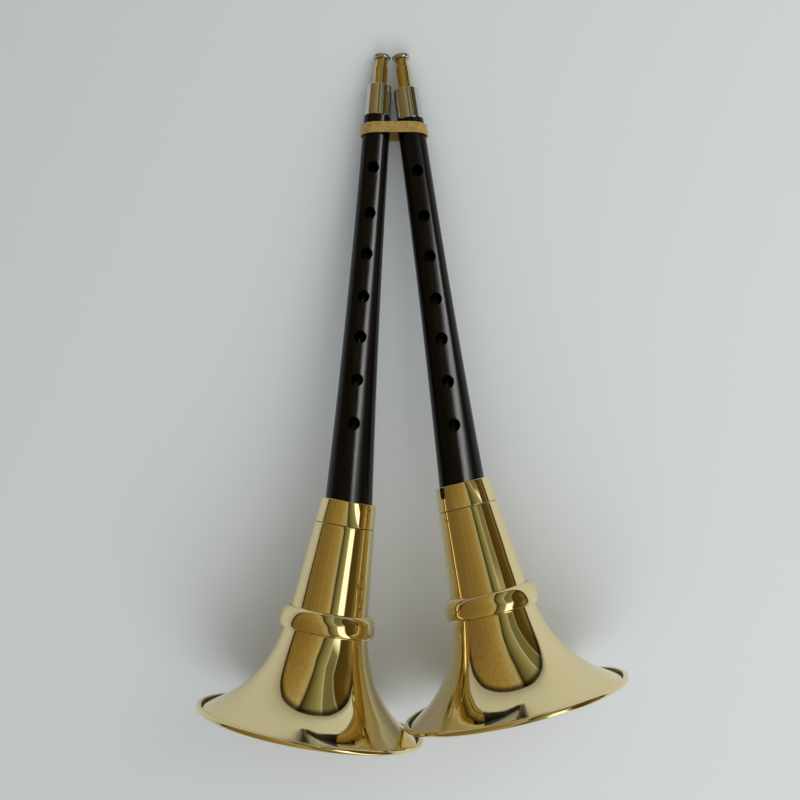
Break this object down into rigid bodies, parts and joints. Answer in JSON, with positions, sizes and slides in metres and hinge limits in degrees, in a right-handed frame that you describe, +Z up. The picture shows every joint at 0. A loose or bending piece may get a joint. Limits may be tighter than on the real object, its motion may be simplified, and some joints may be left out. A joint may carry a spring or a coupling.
{
  "type": "suona pair",
  "caption": "Conical double-reed horns with dark finger-holed wooden bodies, flared brass bells and metal reed cores, bound side by side near the top by a rubber band.",
  "frame": {"origin": "on the table, under the middle of the pair's bounding box", "axes": "+Y towards the heads along the pair, +X to the right seen with the finger holes up, +Z up from the table"},
  "size_m": [0.2716, 0.4478, 0.1435],
  "materials": {
    "blackwood": "oiled, dark, satin",
    "brass_sheet": "mirror polished",
    "brass_tube": "polished",
    "nickel_silver": "polished",
    "steel_wire": "drawn wire",
    "waxed_thread": "wound and waxed",
    "amber_latex": "smooth amber latex"
  },
  "bodies": {
    "left_body": {"left_wood_body": "blackwood", "left_top_ferrule": "nickel_silver", "rubber_band": "amber_latex"},
    "left_core": {"left_core_tube": "brass_tube", "left_core_packing": "waxed_thread", "left_reed_pipe": "brass_tube", "left_lip_disc": "nickel_silver"},
    "left_bell": {"left_bell_collar": "brass_sheet", "left_bell_cone": "brass_sheet", "left_bell_ring": "brass_sheet", "left_bell_flare": "brass_sheet", "left_rim_wire": "steel_wire"},
    "right_body": {"right_wood_body": "blackwood", "right_top_ferrule": "nickel_silver"},
    "right_core": {"right_core_tube": "brass_tube", "right_core_packing": "waxed_thread", "right_reed_pipe": "brass_tube", "right_lip_disc": "nickel_silver"},
    "right_bell": {"right_bell_collar": "brass_sheet", "right_bell_cone": "brass_sheet", "right_bell_ring": "brass_sheet", "right_bell_flare": "brass_sheet", "right_rim_wire": "steel_wire"}
  },
  "joints": [
    {"name": "pair_spread", "type": "hinge", "parent": "left_body", "child": "right_body", "pos_m": [-0.01331, 0.22148, 0.00603], "axis": [0, 0, 1], "range_deg": [0, 20], "stiffness_Nm_per_rad": 0.7, "springref_deg": -22.92, "deforming": ["rubber_band"]},
    {"name": "left_core_slide", "type": "slide", "parent": "left_body", "child": "left_core", "axis": [0.0707, 0.986, -0.1513], "range_m": [-0.0125, 0.0008]},
    {"name": "right_core_slide", "type": "slide", "parent": "right_body", "child": "right_core", "axis": [-0.1375, 0.9783, -0.1548], "range_m": [-0.0155, 0.0008]},
    {"name": "left_bell_slide", "type": "slide", "parent": "left_body", "child": "left_bell", "axis": [-0.0707, -0.986, 0.1513], "range_m": [0, 0.008]},
    {"name": "right_bell_slide", "type": "slide", "parent": "right_body", "child": "right_bell", "axis": [0.1375, -0.9783, 0.1548], "range_m": [-0.055, 0]}
  ]
}
